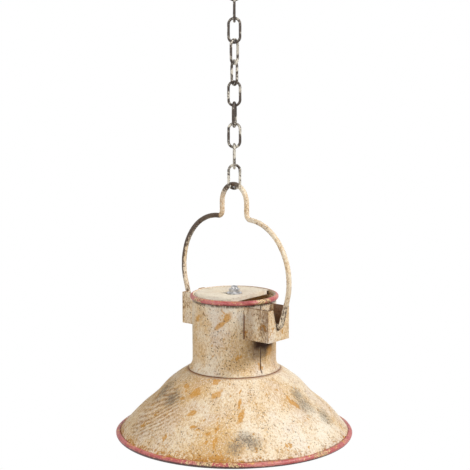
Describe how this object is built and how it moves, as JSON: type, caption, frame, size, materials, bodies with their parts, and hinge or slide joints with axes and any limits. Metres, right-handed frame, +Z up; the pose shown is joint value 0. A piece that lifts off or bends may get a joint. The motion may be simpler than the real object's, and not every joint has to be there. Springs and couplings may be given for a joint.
{
  "type": "hanging lantern",
  "caption": "Hanging lantern: a flared painted-metal shade under a cylindrical neck, carried by a humped round-bar bail on a welded chain, with a lampholder inside.",
  "frame": {"origin": "on the lantern's axis where the ceiling hook's shank leaves its flange, in the plane of the ceiling", "axes": "+Z up along the shank, +X along the bail's pivots towards the bracket over the neck's seam, +Y by the right-hand rule"},
  "size_m": [0.35, 0.3498, 0.7424],
  "materials": {
    "ceiling_hook": "dark worn steel",
    "chain_link_01": "dark worn steel with paint left on it",
    "chain_link_02": "dark worn steel with paint left on it",
    "chain_link_03": "dark worn steel with paint left on it",
    "chain_link_04": "dark worn steel with paint left on it",
    "chain_link_05": "dark worn steel with paint left on it",
    "chain_link_06": "dark worn steel with paint left on it",
    "chain_link_07": "dark worn steel with paint left on it",
    "chain_link_08": "dark worn steel with paint left on it",
    "chain_link_09": "dark worn steel with paint left on it",
    "chain_link_10": "dark worn steel with paint left on it",
    "bail": "worn ivory paint",
    "bail_washer_left": "dull zinc",
    "bail_washer_right": "dull zinc",
    "split_pin_left": "dull zinc",
    "split_pin_right": "dull zinc",
    "neck": "worn ivory paint",
    "neck_rim": "chipped red paint",
    "neck_rim_wire": "dull zinc",
    "shade": "worn ivory paint",
    "shade_rim": "chipped red paint",
    "shade_rim_wire": "dull zinc",
    "bracket_left": "worn ivory paint",
    "bracket_right": "worn ivory paint",
    "top_plate": "worn ivory paint",
    "nipple": "dull zinc",
    "top_nut": "dull zinc",
    "top_washer": "dull zinc",
    "lower_nut": "dull zinc",
    "lower_washer": "dull zinc",
    "lampholder_cap": "moulded black",
    "lampholder_body": "moulded black",
    "lampholder_insert": "unglazed white",
    "screw_shell": "plain",
    "centre_contact": "plain"
  },
  "bodies": {
    "hook": {"ceiling_hook": "ceiling_hook"},
    "link_01": {"chain_link_01": "chain_link_01"},
    "link_02": {"chain_link_02": "chain_link_02"},
    "link_03": {"chain_link_03": "chain_link_03"},
    "link_04": {"chain_link_04": "chain_link_04"},
    "link_05": {"chain_link_05": "chain_link_05"},
    "link_06": {"chain_link_06": "chain_link_06"},
    "link_07": {"chain_link_07": "chain_link_07"},
    "link_08": {"chain_link_08": "chain_link_08"},
    "link_09": {"chain_link_09": "chain_link_09"},
    "link_10": {"chain_link_10": "chain_link_10"},
    "bail": {"bail": "bail", "bail_washer_left": "bail_washer_left", "bail_washer_right": "bail_washer_right", "split_pin_left": "split_pin_left", "split_pin_right": "split_pin_right"},
    "lantern": {"neck": "neck", "neck_rim": "neck_rim", "neck_rim_wire": "neck_rim_wire", "shade": "shade", "shade_rim": "shade_rim", "shade_rim_wire": "shade_rim_wire", "bracket_left": "bracket_left", "bracket_right": "bracket_right", "top_plate": "top_plate", "nipple": "nipple", "top_nut": "top_nut", "top_washer": "top_washer", "lower_nut": "lower_nut", "lower_washer": "lower_washer", "lampholder_cap": "lampholder_cap", "lampholder_body": "lampholder_body", "lampholder_insert": "lampholder_insert", "screw_shell": "screw_shell", "centre_contact": "centre_contact"}
  },
  "joints": [
    {"name": "link_01_swing", "type": "hinge", "parent": "hook", "child": "link_01", "pos_m": [0, 0, -0.04286], "axis": [-0.8049, 0.5934, 0], "range_deg": [-20, 20]},
    {"name": "link_02_swing", "type": "hinge", "parent": "link_01", "child": "link_02", "pos_m": [0, 0, -0.07176], "axis": [0.5934, 0.8049, 0], "range_deg": [-20, 20]},
    {"name": "link_03_swing", "type": "hinge", "parent": "link_02", "child": "link_03", "pos_m": [0, 0, -0.10156], "axis": [-0.7501, 0.6613, 0], "range_deg": [-20, 20]},
    {"name": "link_04_swing", "type": "hinge", "parent": "link_03", "child": "link_04", "pos_m": [0, 0, -0.13136], "axis": [0.7593, 0.6508, 0], "range_deg": [-20, 20]},
    {"name": "link_05_swing", "type": "hinge", "parent": "link_04", "child": "link_05", "pos_m": [0, 0, -0.16116], "axis": [-0.2351, 0.972, 0], "range_deg": [-20, 20]},
    {"name": "link_06_swing", "type": "hinge", "parent": "link_05", "child": "link_06", "pos_m": [0, 0, -0.19096], "axis": [-0.9686, 0.2487, 0], "range_deg": [-20, 20]},
    {"name": "link_07_swing", "type": "hinge", "parent": "link_06", "child": "link_07", "pos_m": [0, 0, -0.22076], "axis": [0.6613, 0.7501, 0], "range_deg": [-20, 20]},
    {"name": "link_08_swing", "type": "hinge", "parent": "link_07", "child": "link_08", "pos_m": [0, 0, -0.25056], "axis": [-0.5962, 0.8028, 0], "range_deg": [-20, 20]},
    {"name": "link_09_swing", "type": "hinge", "parent": "link_08", "child": "link_09", "pos_m": [0, 0, -0.28036], "axis": [0.5934, 0.8049, 0], "range_deg": [-20, 20]},
    {"name": "link_10_swing", "type": "hinge", "parent": "link_09", "child": "link_10", "pos_m": [0, 0, -0.31016], "axis": [-0.7727, 0.6347, 0], "range_deg": [-20, 20]},
    {"name": "bail_swing", "type": "hinge", "parent": "link_10", "child": "bail", "pos_m": [0, 0, -0.33996], "axis": [0.4756, 0.8796, 0], "range_deg": [-20, 20]},
    {"name": "lantern_tilt", "type": "hinge", "parent": "bail", "child": "lantern", "pos_m": [0, 0, -0.52841], "axis": [1, 0, 0], "range_deg": [-22, 22]}
  ]
}
